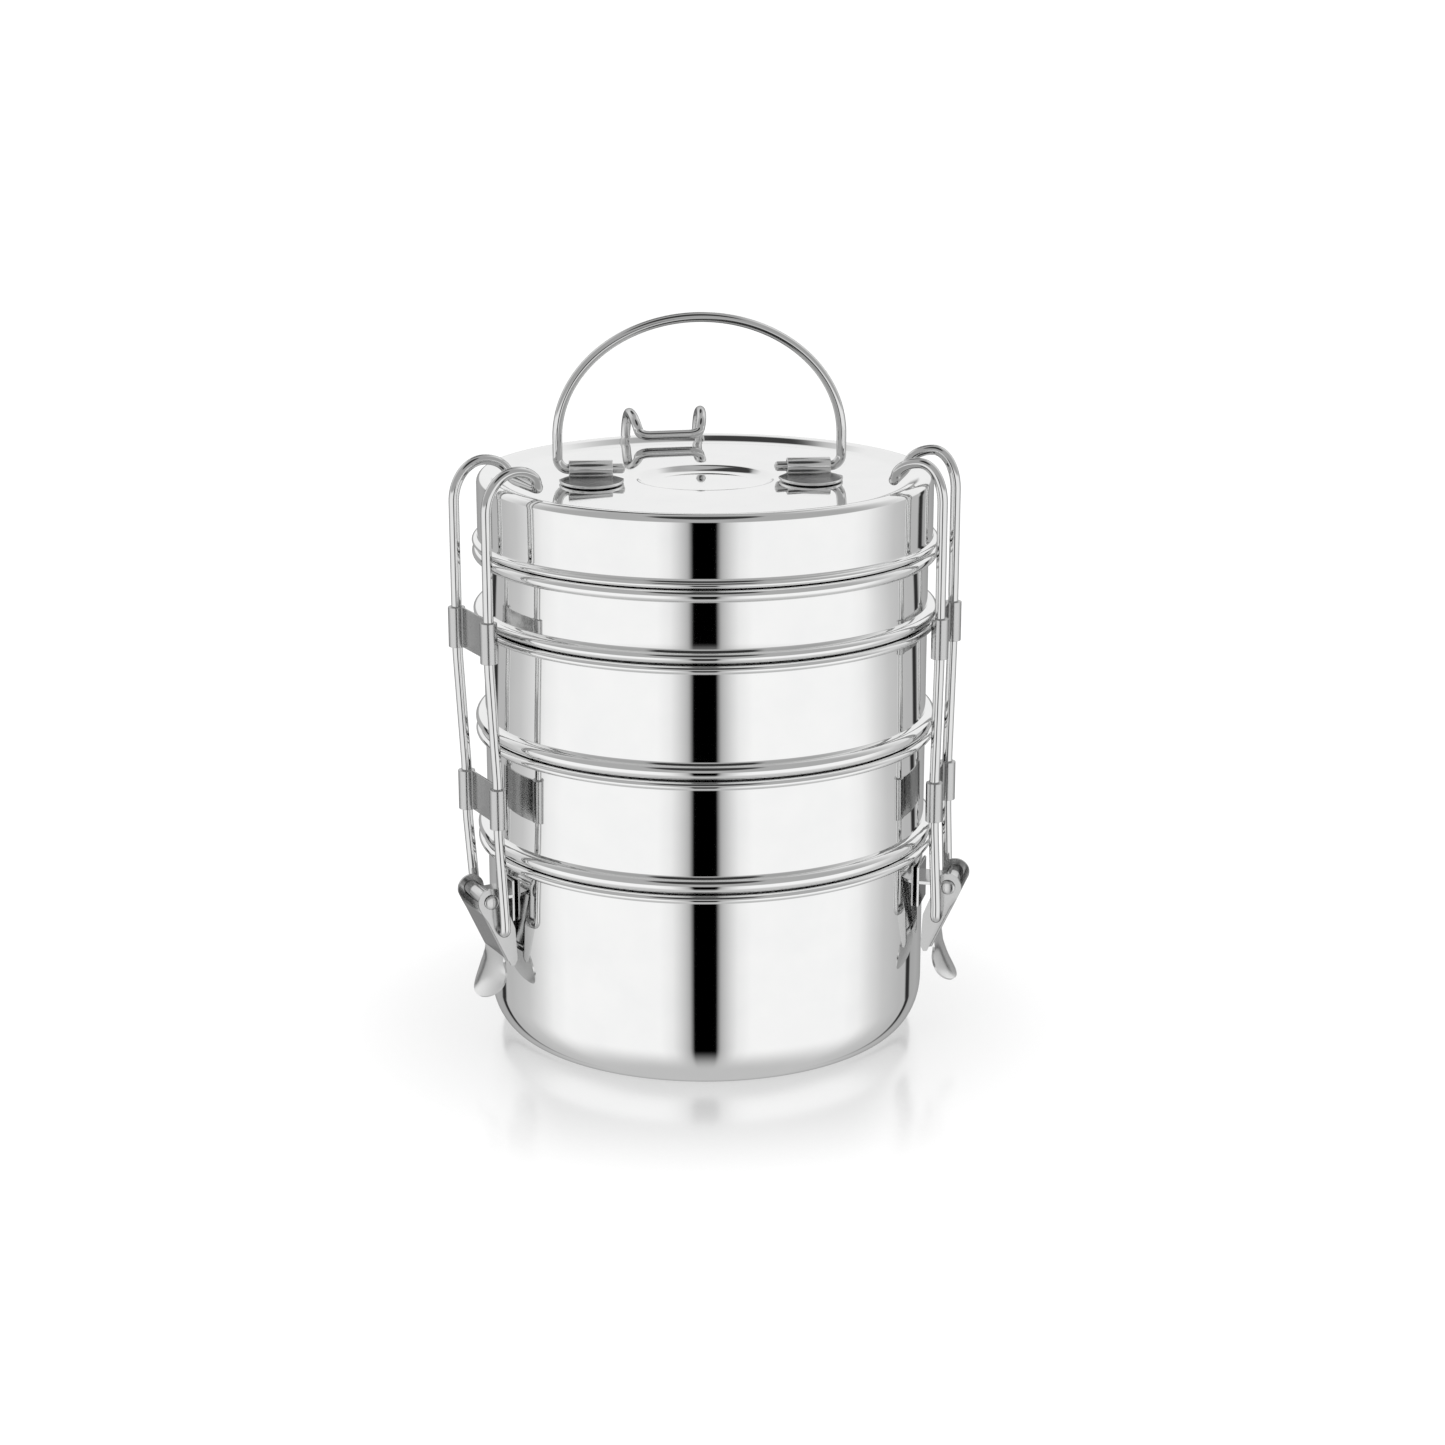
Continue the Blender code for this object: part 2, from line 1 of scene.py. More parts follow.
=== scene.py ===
"""Looks of the stacking steel tiffin carrier: fine turned shells, smooth wire, sheet fittings, steel finishes, studio."""

import math

import bpy
from mathutils import Matrix, Vector


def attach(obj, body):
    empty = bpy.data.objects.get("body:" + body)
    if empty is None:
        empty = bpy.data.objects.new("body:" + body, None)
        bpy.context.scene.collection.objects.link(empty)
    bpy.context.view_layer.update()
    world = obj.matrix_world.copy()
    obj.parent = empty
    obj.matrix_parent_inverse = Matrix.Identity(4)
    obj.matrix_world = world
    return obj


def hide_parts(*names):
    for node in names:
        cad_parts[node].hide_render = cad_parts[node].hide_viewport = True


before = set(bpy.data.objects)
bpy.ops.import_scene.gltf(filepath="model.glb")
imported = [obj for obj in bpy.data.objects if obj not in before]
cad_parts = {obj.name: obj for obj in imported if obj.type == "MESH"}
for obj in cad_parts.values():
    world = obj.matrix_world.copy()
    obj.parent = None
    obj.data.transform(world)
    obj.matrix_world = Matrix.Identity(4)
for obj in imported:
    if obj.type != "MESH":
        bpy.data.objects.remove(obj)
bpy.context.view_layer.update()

MM = 0.001
AROUND = 160

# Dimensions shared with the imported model, in metres and degrees
SHEET = 0.8 * MM
WALL_R = 68.7 * MM
BEAD_R = 71.7 * MM
NEST_R = 67.4 * MM
NEST_DEPTH = 8.0 * MM
SEAT_GAP = 0.3 * MM
BASE_TOP = 62.6 * MM
TIER_2_TOP = 97.3 * MM
TIER_3_TOP = 132.0 * MM
TRAY_TOP = 154.2 * MM
LID_R = 70.0 * MM
LID_CREST_Z = 175.7 * MM
LID_FLOOR_Z = 173.7 * MM
LID_CREST_R = 68.0 * MM
LID_SLOPE_R = 61.5 * MM
LID_COLLAR = 5.0 * MM
DIMPLE_R = 21.7 * MM
DIMPLE_DEPTH = 1.8 * MM

HANDLE_WIRE_R = 1.5 * MM
HANDLE_HALF_WIDTH = 43.45 * MM
HANDLE_RISE = 45.9 * MM
HANDLE_SHOULDER = 9.8 * MM
HANDLE_ORIGIN = (-1.6 * MM, 0.0, 176.7 * MM)
HANDLE_YAW = 4.5
HANDLE_STUB_X = 22.9 * MM
TUBE_INNER_X = 26.7 * MM
TUBE_OUTER_X = 40.1 * MM
TUBE_R = 2.6 * MM
TUBE_BORE_R = 1.85 * MM
LEAF_HALF_WIDTH = 9.8 * MM
LEAF_LENGTH = 19.5 * MM

CLIPS = {
    "left": {
        "azimuth": 208.0,
        "pivot_r": 77.6 * MM,
        "pivot_z": 51.2 * MM,
        "leg_mid_r": 76.3 * MM,
        "leg_high_r": 78.2 * MM,
        "strip_lift": 1.5 * MM,
    },
    "right": {
        "azimuth": -13.8,
        "pivot_r": 79.1 * MM,
        "pivot_z": 50.3 * MM,
        "leg_mid_r": 74.9 * MM,
        "leg_high_r": 75.6 * MM,
        "strip_lift": -1.4 * MM,
    },
    "back": {
        "azimuth": 101.4,
        "pivot_r": 78.2 * MM,
        "pivot_z": 50.7 * MM,
        "leg_mid_r": 75.6 * MM,
        "leg_high_r": 76.8 * MM,
        "strip_lift": 0.0,
    },
}
CLIP_WIRE_R = 1.55 * MM
CRANK_IN = 3.2 * MM
CRANK_DOWN = 9.8 * MM
CHEEK_OUTER = 8.25 * MM
CHEEK_INNER = 7.45 * MM
LEG_LOW_Y = 11.1 * MM
LEG_MID_Y = 11.9 * MM
LEG_HIGH_Y = 12.0 * MM
BAR_R = 60.0 * MM
BAR_LIFT = 1.4 * MM
ARCH_TOP_Z = 183.0 * MM
APEX_R = 68.5 * MM
SHOULDER_Z = 171.0 * MM
LOWER_PLATE_Z = (74.0 * MM, 86.3 * MM)
UPPER_PLATE_Z = (125.3 * MM, 137.6 * MM)
PLATE_SHEET = 0.7 * MM
PLATE_EYE_R = 1.9 * MM
WEB_IN = 0.85 * MM
PIN_R = 1.3 * MM
PIN_HEAD_R = 2.3 * MM
KNUCKLE_R = 2.5 * MM
KNUCKLE_BORE_R = 1.65 * MM
KNUCKLE_HALF = 7.15 * MM


# ----------------------------------------------------------------------------
# Steel finishes
# ----------------------------------------------------------------------------
def steel(name, shade, rough_low, rough_high, grain, grain_stretch, bump, patch=90.0, edge=1.0):
    """Polished or satin steel: fine directional polishing lines, soft patches and small colour changes."""
    material = bpy.data.materials.new(name)
    material.use_nodes = True
    nodes = material.node_tree.nodes
    links = material.node_tree.links
    shader = nodes["Principled BSDF"]
    shader.inputs["Metallic"].default_value = 1.0
    shader.inputs["Specular Tint"].default_value = (edge, edge, edge, 1.0)

    coords = nodes.new("ShaderNodeTexCoord")
    mapping = nodes.new("ShaderNodeMapping")
    mapping.inputs["Scale"].default_value = grain_stretch
    links.new(coords.outputs["Object"], mapping.inputs["Vector"])

    lines = nodes.new("ShaderNodeTexNoise")
    lines.inputs["Scale"].default_value = grain
    lines.inputs["Detail"].default_value = 3.0
    lines.inputs["Roughness"].default_value = 0.55
    links.new(mapping.outputs["Vector"], lines.inputs["Vector"])

    clouds = nodes.new("ShaderNodeTexNoise")
    clouds.inputs["Scale"].default_value = patch
    clouds.inputs["Detail"].default_value = 2.0
    links.new(coords.outputs["Object"], clouds.inputs["Vector"])

    blend = nodes.new("ShaderNodeMix")
    blend.data_type = "FLOAT"
    blend.inputs[0].default_value = 0.45
    links.new(lines.outputs["Fac"], blend.inputs[2])
    links.new(clouds.outputs["Fac"], blend.inputs[3])

    rough = nodes.new("ShaderNodeMapRange")
    rough.inputs["From Min"].default_value = 0.3
    rough.inputs["From Max"].default_value = 0.7
    rough.inputs["To Min"].default_value = rough_low
    rough.inputs["To Max"].default_value = rough_high
    links.new(blend.outputs[0], rough.inputs["Value"])
    links.new(rough.outputs["Result"], shader.inputs["Roughness"])

    ramp = nodes.new("ShaderNodeValToRGB")
    ramp.color_ramp.elements[0].position = 0.25
    ramp.color_ramp.elements[0].color = (shade * 0.965, shade * 0.968, shade * 0.968, 1.0)
    ramp.color_ramp.elements[1].position = 0.75
    ramp.color_ramp.elements[1].color = (shade, shade, shade * 0.996, 1.0)
    links.new(clouds.outputs["Fac"], ramp.inputs["Fac"])
    links.new(ramp.outputs["Color"], shader.inputs["Base Color"])

    height = nodes.new("ShaderNodeBump")
    height.inputs["Strength"].default_value = bump
    height.inputs["Distance"].default_value = 0.00002
    links.new(lines.outputs["Fac"], height.inputs["Height"])
    links.new(height.outputs["Normal"], shader.inputs["Normal"])
    return material


TURNED = (1.0, 1.0, 30.0)
EVEN = (1.0, 1.0, 1.0)
POLISHED = steel("polished_wall_steel", 0.915, 0.015, 0.045, 60.0, TURNED, 0.05)
LID_STEEL = steel("polished_lid_steel", 0.90, 0.02, 0.055, 60.0, TURNED, 0.05)
TRAY_STEEL = steel("polished_tray_steel", 0.91, 0.015, 0.05, 60.0, TURNED, 0.05)
WIRE_STEEL = steel("drawn_wire_steel", 0.78, 0.02, 0.045, 900.0, EVEN, 0.02, 200.0, 0.45)
STRIP_STEEL = steel("satin_strip_steel", 0.62, 0.17, 0.26, 900.0, (1.0, 1.0, 10.0), 0.06, 220.0, 0.7)
# The lever channel and its tongue are one steel sheet given lit and shaded copies of one steel: the tongue's lighter
# copy (shade 0.92) is a painted highlight for the light it catches, and the lever's darker copy (shade 0.60) is painted
# shade on its cheeks and web.
TONGUE_STEEL_PAINTED_HIGHLIGHT = steel("tongue_steel_painted_highlight", 0.92, 0.15, 0.22, 900.0, (1.0, 1.0, 6.0), 0.04, 180.0, 0.8)
LEVER_STEEL_PAINTED_SHADE = steel("satin_lever_steel_painted_shade", 0.60, 0.16, 0.24, 900.0, (1.0, 1.0, 6.0), 0.05, 180.0, 0.8)
KNUCKLE_STEEL = steel("knuckle_sheet_steel", 0.80, 0.09, 0.16, 900.0, EVEN, 0.04, 240.0, 0.5)
PIN_STEEL = steel("rivet_steel", 0.70, 0.16, 0.24, 900.0, EVEN, 0.05, 300.0, 0.6)
BRACKET_STEEL = steel("bracket_sheet_steel", 0.92, 0.13, 0.19, 800.0, EVEN, 0.03, 200.0, 0.5)


# ----------------------------------------------------------------------------
# Mesh helpers
# ----------------------------------------------------------------------------
def arc(cx, cy, radius_x, radius_y, start, stop, steps):
    """Points on an elliptic arc, angles in degrees."""
    points = []
    for i in range(steps + 1):
        angle = math.radians(start + (stop - start) * i / steps)
        points.append((cx + radius_x * math.cos(angle), cy + radius_y * math.sin(angle)))
    return points


def make(name, vertices, faces, material, smooth=40.0):
    """A mesh object with outward faces, smooth by angle."""
    mesh = bpy.data.meshes.new(name)
    mesh.from_pydata([tuple(v) for v in vertices], [], faces)
    mesh.validate()
    obj = bpy.data.objects.new(name, mesh)
    bpy.context.scene.collection.objects.link(obj)
    bpy.context.view_layer.update()
    bpy.ops.object.select_all(action="DESELECT")
    obj.select_set(True)
    bpy.context.view_layer.objects.active = obj
    bpy.ops.object.mode_set(mode="EDIT")
    bpy.ops.mesh.select_all(action="SELECT")
    bpy.ops.mesh.remove_doubles(threshold=0.000005)
    bpy.ops.mesh.normals_make_consistent(inside=False)
    bpy.ops.object.mode_set(mode="OBJECT")
    mesh.materials.append(material)
    for polygon in mesh.polygons:
        polygon.use_smooth = True
    mesh.set_sharp_from_angle(angle=math.radians(smooth))
    return obj


def lathe(name, profile, material, segments=AROUND, smooth=40.0):
    """A closed body of revolution about Z from a closed loop of (radius, height) points."""
    vertices = []
    faces = []
    count = len(profile)
    for s in range(segments):
        turn = 2.0 * math.pi * s / segments
        for r, z in profile:
            vertices.append((r * math.cos(turn), r * math.sin(turn), z))
    for s in range(segments):
        t = (s + 1) % segments
        for i in range(count):
            j = (i + 1) % count
            if profile[i][0] < 1e-9 and profile[j][0] < 1e-9:
                continue
            faces.append((s * count + i, t * count + i, t * count + j, s * count + j))
    return make(name, vertices, faces, material, smooth)


def rounded(points, radius, steps=4):
    """Round every corner of an open polyline by up to radius."""
    out = [Vector(points[0])]
    for before, corner, after in zip(points, points[1:], points[2:]):
        b, c, a = Vector(before), Vector(corner), Vector(after)
        to_b = b - c
        to_a = a - c
        reach = min(radius, 0.45 * to_b.length, 0.45 * to_a.length)
        p = c + to_b.normalized() * reach
        q = c + to_a.normalized() * reach
        for i in range(steps + 1):
            t = i / steps
            out.append(p * (1 - t) ** 2 + c * 2 * t * (1 - t) + q * t ** 2)
    out.append(Vector(points[-1]))
    return out


# Domed wire end: distance in from the tip and ring size, both as parts of the wire radius
WIRE_END = ((0.0, 0.25), (0.25, 0.85), (0.6, 1.0))


def tube(name, points, radius, material, sides=24):
    """Round wire swept along a polyline with a steady frame and domed ends."""
    path = [Vector(p) for p in points]
    tangents = []
    for i in range(len(path)):
        ahead = path[min(i + 1, len(path) - 1)]
        behind = path[max(i - 1, 0)]
        tangents.append((ahead - behind).normalized())
    normal = tangents[0].orthogonal().normalized()
    rings = []
    stations = [(path[0] + tangents[0] * radius * inset, tangents[0], scale) for inset, scale in WIRE_END]
    stations += [(point, tangent, 1.0) for point, tangent in zip(path[1:-1], tangents[1:-1])]
    stations += [(path[-1] - tangents[-1] * radius * inset, tangents[-1], scale) for inset, scale in reversed(WIRE_END)]
    vertices = []
    faces = []
    previous = tangents[0]
    for point, tangent, scale in stations:
        normal = previous.rotation_difference(tangent) @ normal
        normal = (normal - tangent * normal.dot(tangent)).normalized()
        previous = tangent
        side = tangent.cross(normal)
        ring = []
        for k in range(sides):
            angle = 2.0 * math.pi * k / sides
            ring.append(len(vertices))
            vertices.append(point + (normal * math.cos(angle) + side * math.sin(angle)) * radius * scale)
        rings.append(ring)
    for a, b in zip(rings, rings[1:]):
        for k in range(sides):
            j = (k + 1) % sides
            faces.append((a[k], a[j], b[j], b[k]))
    faces.append(tuple(reversed(rings[0])))
    faces.append(tuple(rings[-1]))
    return make(name, vertices, faces, material, 60.0)


def soften(obj, width, segments=2, angle=35.0):
    """Round the edges of a sheet part."""
    bevel = obj.modifiers.new("edges", "BEVEL")
    bevel.width = width
    bevel.segments = segments
    bevel.limit_method = "ANGLE"
    bevel.angle_limit = math.radians(angle)
    bevel.use_clamp_overlap = True
    bevel.harden_normals = True
    return obj


def put(obj, matrix, body, slot, *nodes):
    """Set a piece in the shared frame, tie it to its body and let it stand for CAD nodes."""
    obj.data.transform(matrix)
    obj.data.update()
    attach(obj, body)
    if nodes:
        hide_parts(*nodes)
    return obj


# ----------------------------------------------------------------------------
# Containers and lid
# ----------------------------------------------------------------------------
def rim_roll(top, height):
    """Outer side of a rolled rim, from its top edge round to the wall below."""
    half = height / 2.0
    roll = arc(BEAD_R - 1.9 * MM, top - half, 1.9 * MM, half, 90.0, -90.0, 14)
    lip = [(WALL_R - 0.1 * MM, top - 0.25 * MM), (WALL_R + 0.35 * MM, top - 0.02 * MM)]
    return lip + roll + [(WALL_R, top - height - 0.15 * MM)]


def stop_ring(seat, height):
    """Outer side of the pressed bead above a seat, from the wall down to the nest."""
    bottom = seat + SEAT_GAP
    half = height / 2.0
    fillet = [(WALL_R, bottom + height + 0.5 * MM), (WALL_R + 0.12 * MM, bottom + height + 0.12 * MM)]
    ring = arc(BEAD_R - 2.3 * MM, bottom + half, 2.3 * MM, half, 75.0, -90.0, 14)
    return fillet + ring + [(NEST_R + 0.2 * MM, bottom), (NEST_R, bottom - 0.25 * MM)]


def base_loop():
    """Closed section of the deep bottom container."""
    corner = arc(WALL_R - 9.0 * MM, 14.0 * MM, 9.0 * MM, 14.0 * MM, 0.0, -90.0, 20)
    hollow = arc(WALL_R - 9.0 * MM, 14.0 * MM, 8.2 * MM, 13.2 * MM, -90.0, 0.0, 20)
    outer = rim_roll(BASE_TOP, 2.8 * MM) + [(WALL_R, 40.0 * MM)] + corner + [(30.0 * MM, 0.0), (0.0, 0.0)]
    inner = [(0.0, SHEET), (30.0 * MM, SHEET)] + hollow
    inner += [(WALL_R - SHEET, 40.0 * MM), (WALL_R - SHEET, BASE_TOP - 0.7 * MM)]
    return inner + outer


def tier_loop(seat, top, rim, stop):
    """Closed section of a container whose lower end nests into the one below."""
    bottom = seat - NEST_DEPTH
    step = seat + SEAT_GAP
    foot = arc(NEST_R - 3.4 * MM, bottom + 3.4 * MM, 3.4 * MM, 3.4 * MM, 0.0, -90.0, 8)
    outside = rim_roll(top, rim) + stop_ring(seat, stop) + foot + [(30.0 * MM, bottom), (0.0, bottom)]
    inner_r = NEST_R - SHEET
    inner_foot = arc(NEST_R - 3.4 * MM, bottom + 3.4 * MM, 2.6 * MM, 2.6 * MM, -90.0, 0.0, 8)
    bulge = arc(WALL_R - SHEET, step + stop / 2.0, 2.0 * MM, stop / 2.0 - 0.7 * MM, -90.0, 90.0, 10)
    inside = [(0.0, bottom + SHEET), (30.0 * MM, bottom + SHEET)] + inner_foot
    inside += [(inner_r, step + 0.3 * MM)] + bulge
    inside += [(WALL_R - SHEET, step + stop + 0.4 * MM), (WALL_R - SHEET, top - 0.7 * MM)]
    return inside + outside


def lid_loop():
    """Closed section of the lid: recess with dimple, raised crest, skirt, bead and collar."""
    seat = TRAY_TOP + SEAT_GAP
    dimple = [
        (0.0, LID_FLOOR_Z - DIMPLE_DEPTH),
        (0.8 * MM, LID_FLOOR_Z - DIMPLE_DEPTH),
        (8.0 * MM, LID_FLOOR_Z - DIMPLE_DEPTH),
        (DIMPLE_R - 6.0 * MM, LID_FLOOR_Z - DIMPLE_DEPTH),
        (DIMPLE_R - 3.6 * MM, LID_FLOOR_Z - 0.93 * DIMPLE_DEPTH),
        (DIMPLE_R - 2.2 * MM, LID_FLOOR_Z - 0.66 * DIMPLE_DEPTH),
        (DIMPLE_R - 1.2 * MM, LID_FLOOR_Z - 0.24 * DIMPLE_DEPTH),
        (DIMPLE_R - 0.5 * MM, LID_FLOOR_Z - 0.04 * DIMPLE_DEPTH),
        (DIMPLE_R + 0.4 * MM, LID_FLOOR_Z),
        (40.0 * MM, LID_FLOOR_Z),
        (LID_SLOPE_R - 1.5 * MM, LID_FLOOR_Z),
        (LID_SLOPE_R, LID_FLOOR_Z + 0.1 * MM),
        (LID_SLOPE_R + 1.6 * MM, LID_FLOOR_Z + 0.5 * MM),
        (LID_CREST_R - 2.6 * MM, LID_CREST_Z - 0.42 * MM),
        (LID_CREST_R - 1.2 * MM, LID_CREST_Z - 0.08 * MM),
    ]
    crest = arc(LID_CREST_R, LID_CREST_Z - 2.6 * MM, LID_R - LID_CREST_R, 2.6 * MM, 90.0, 0.0, 14)
    skirt = [(LID_R, 168.0 * MM), (LID_R, seat + 3.2 * MM), (LID_R, seat + 2.7 * MM), (LID_R + 0.15 * MM, seat + 2.3 * MM)]
    bead = arc(BEAD_R - 1.5 * MM, seat + 1.1 * MM, 1.5 * MM, 1.1 * MM, 80.0, -90.0, 10)
    collar = [(NEST_R + 0.2 * MM, seat), (NEST_R, seat - 0.3 * MM), (NEST_R, seat - LID_COLLAR)]
    outer = dimple + crest + skirt + bead + collar
    inner = [
        (NEST_R - SHEET, seat - LID_COLLAR),
        (NEST_R - SHEET, seat + 0.6 * MM),
        (LID_R - SHEET, seat + 1.8 * MM),
        (LID_R - SHEET, LID_CREST_Z - 2.2 * MM),
        (LID_R - 1.2 * MM, LID_CREST_Z - 1.3 * MM),
        (LID_CREST_R - 0.1 * MM, LID_CREST_Z - SHEET),
        (LID_CREST_R - 2.6 * MM, LID_CREST_Z - 0.42 * MM - SHEET),
        (LID_SLOPE_R, LID_FLOOR_Z - SHEET),
        (DIMPLE_R + 0.4 * MM, LID_FLOOR_Z - SHEET),
        (DIMPLE_R - 2.2 * MM, LID_FLOOR_Z - 0.66 * DIMPLE_DEPTH - SHEET),
        (DIMPLE_R - 5.0 * MM, LID_FLOOR_Z - DIMPLE_DEPTH - SHEET),
        (0.0, LID_FLOOR_Z - DIMPLE_DEPTH - SHEET),
    ]
    return outer + inner


REST = Matrix.Identity(4)
put(lathe("base_shell", base_loop(), POLISHED), REST, "base", "polished_steel", "base_container")
tier_2 = lathe("tier_2_shell", tier_loop(BASE_TOP, TIER_2_TOP, 2.8 * MM, 4.6 * MM), POLISHED)
put(tier_2, REST, "tier_2", "polished_steel", "tier_2_container")
tier_3 = lathe("tier_3_shell", tier_loop(TIER_2_TOP, TIER_3_TOP, 2.8 * MM, 4.6 * MM), POLISHED)
put(tier_3, REST, "tier_3", "polished_steel", "tier_3_container")
tray = lathe("tray_shell", tier_loop(TIER_3_TOP, TRAY_TOP, 3.9 * MM, 3.6 * MM), TRAY_STEEL)
put(tray, REST, "tray", "tray_steel", "top_tray")
put(lathe("lid_shell", lid_loop(), LID_STEEL), REST, "lid", "lid_steel", "lid")


# ----------------------------------------------------------------------------
# Handle and its brackets
# ----------------------------------------------------------------------------
HANDLE_FRAME = Matrix.Translation(HANDLE_ORIGIN) @ Matrix.Rotation(math.radians(HANDLE_YAW), 4, "Z")


def handle_line():
    """Centre line of the bail in its own frame."""
    rise = HANDLE_RISE - HANDLE_SHOULDER
    bend = arc(HANDLE_HALF_WIDTH - 3.4 * MM, 3.4 * MM, 3.4 * MM, 3.4 * MM, -88.0, 0.0, 12)
    sweep = arc(0.0, HANDLE_SHOULDER, HANDLE_HALF_WIDTH, rise, 0.0, 90.0, 48)
    half = [(HANDLE_STUB_X, 0.0), (30.0 * MM, 0.0)] + bend + sweep
    right = [(x, 0.0, z) for x, z in half]
    left = [(-x, 0.0, z) for x, z in reversed(half[:-1])]
    return right + left


put(tube("bail_wire", handle_line(), HANDLE_WIRE_R, WIRE_STEEL, 28), HANDLE_FRAME, "handle", "wire_steel", "handle_wire")


def rolled_tube(name, outer_r, bore_r, half_length, material):
    """A short tube along X with softly rounded ends."""
    edge = 0.22 * MM
    loop = [
        (half_length - edge, outer_r),
        (half_length - 0.3 * edge, outer_r - 0.3 * edge),
        (half_length, outer_r - edge),
        (half_length, bore_r),
        (-half_length, bore_r),
        (-half_length, outer_r - edge),
        (-half_length + 0.3 * edge, outer_r - 0.3 * edge),
        (-half_length + edge, outer_r),
    ]
    vertices = []
    faces = []
    steps = 40
    count = len(loop)
    for s in range(steps + 1):
        angle = math.radians(-90.0 + 360.0 * s / steps)
        for x, r in loop:
            vertices.append((x, r * math.cos(angle), r * math.sin(angle)))
    for s in range(steps):
        for i in range(count):
            j = (i + 1) % count
            faces.append((s * count + i, (s + 1) * count + i, (s + 1) * count + j, s * count + j))
    return make(name, vertices, faces, material, 50.0)


def slab(name, outline, low, high, material, width=0.15 * MM):
    """A plate from an outline in XY with rounded edges."""
    count = len(outline)
    vertices = [(x, y, low) for x, y in outline] + [(x, y, high) for x, y in outline]
    faces = [tuple(range(count)), tuple(range(count, 2 * count))]
    for i in range(count):
        j = (i + 1) % count
        faces.append((i, j, count + j, count + i))
    return soften(make(name, vertices, faces, material, 35.0), width)


for label, side in (("left", -1.0), ("right", 1.0)):
    middle = side * (TUBE_OUTER_X + TUBE_INNER_X) / 2.0
    half = (TUBE_OUTER_X - TUBE_INNER_X) / 2.0
    roll = rolled_tube("bracket_roll_" + label, TUBE_R, TUBE_BORE_R, half, BRACKET_STEEL)
    put(roll, HANDLE_FRAME @ Matrix.Translation((middle, 0.0, 0.0)), "lid", "bracket_steel", "handle_bracket_" + label)
    leaf_top = LID_FLOOR_Z + SEAT_GAP + SHEET - HANDLE_ORIGIN[2]
    oval = arc(0.0, 0.0, LEAF_HALF_WIDTH, LEAF_LENGTH - 6.0 * MM, -180.0, 0.0, 36)
    outline = [(x, y - 6.0 * MM) for x, y in oval]
    outline += [(half * 0.92, 0.5 * MM), (-half * 0.92, 0.5 * MM)]
    leaf = slab("bracket_leaf_" + label, outline, leaf_top - SHEET, leaf_top, BRACKET_STEEL, 0.2 * MM)
    put(leaf, HANDLE_FRAME @ Matrix.Translation((middle, 0.0, 0.0)), "lid", "bracket_steel")


# ----------------------------------------------------------------------------
# Side clips, in a frame with X outward, Y along the pin and Z up
# ----------------------------------------------------------------------------
def clip_line(clip):
    """Centre line of the hairpin: foot, leg, hook over the lid, bar and back."""
    foot_x = clip["pivot_r"] - CRANK_IN
    foot_z = clip["pivot_z"] - CRANK_DOWN
    lift = clip["strip_lift"]
    mid_r = clip["leg_mid_r"]
    high_r = clip["leg_high_r"]
    straight = [
        (foot_x, CHEEK_INNER - 0.7 * MM, foot_z),
        (foot_x, LEG_LOW_Y, foot_z),
        (foot_x + 0.05 * MM, LEG_LOW_Y, foot_z + 4.0 * MM),
        (mid_r, LEG_MID_Y, LOWER_PLATE_Z[0] + lift - 2.0 * MM),
        (mid_r, LEG_MID_Y, LOWER_PLATE_Z[1] + lift + 2.0 * MM),
        (high_r, LEG_HIGH_Y, UPPER_PLATE_Z[0] + lift - 2.0 * MM),
        (high_r, LEG_HIGH_Y, SHOULDER_Z),
    ]
    bar_z = LID_FLOOR_Z + CLIP_WIRE_R + BAR_LIFT
    outer_r = high_r - APEX_R
    inner_r = APEX_R - BAR_R - 1.0 * MM
    inner_rise = ARCH_TOP_Z - bar_z - 1.2 * MM
    loop = arc(APEX_R, SHOULDER_Z, outer_r, ARCH_TOP_Z - SHOULDER_Z, 4.0, 90.0, 16)
    loop += arc(APEX_R, ARCH_TOP_Z - inner_rise, inner_r, inner_rise, 96.0, 176.0, 12)
    hook = []
    for i, (x, z) in enumerate(loop):
        past = max(0.0, (i - 14) / (len(loop) - 15))
        hook.append((x, LEG_HIGH_Y - 0.3 * MM * i / len(loop) - 1.5 * MM * past ** 1.5, z))
    end = Vector(hook[-1])
    corner = Vector((BAR_R, end.y - 0.5 * MM, bar_z))
    stop = Vector((BAR_R, end.y - 4.2 * MM, bar_z))
    turn = []
    for i in range(1, 11):
        t = i / 10.0
        turn.append(tuple(end * (1 - t) ** 2 + corner * 2 * t * (1 - t) + stop * t ** 2))
    half = rounded(straight, 2.2 * MM, 5) + [Vector(p) for p in hook + turn]
    other = [Vector((p.x, -p.y, p.z)) for p in reversed(half)]
    return half + other


def strip_outline(leg_y):
    """Section of a strip whose ends are curled round both legs, joined by a web on the inner side."""
    ring_r = PLATE_EYE_R + PLATE_SHEET
    front = math.degrees(math.acos(-WEB_IN / ring_r))
    back = math.degrees(math.acos(-(WEB_IN + PLATE_SHEET) / ring_r))
    outline = arc(0.0, leg_y, ring_r, ring_r, -front, 360.0 - back, 36)
    outline += arc(0.0, -leg_y, ring_r, ring_r, back, 360.0 + front, 36)
    return outline


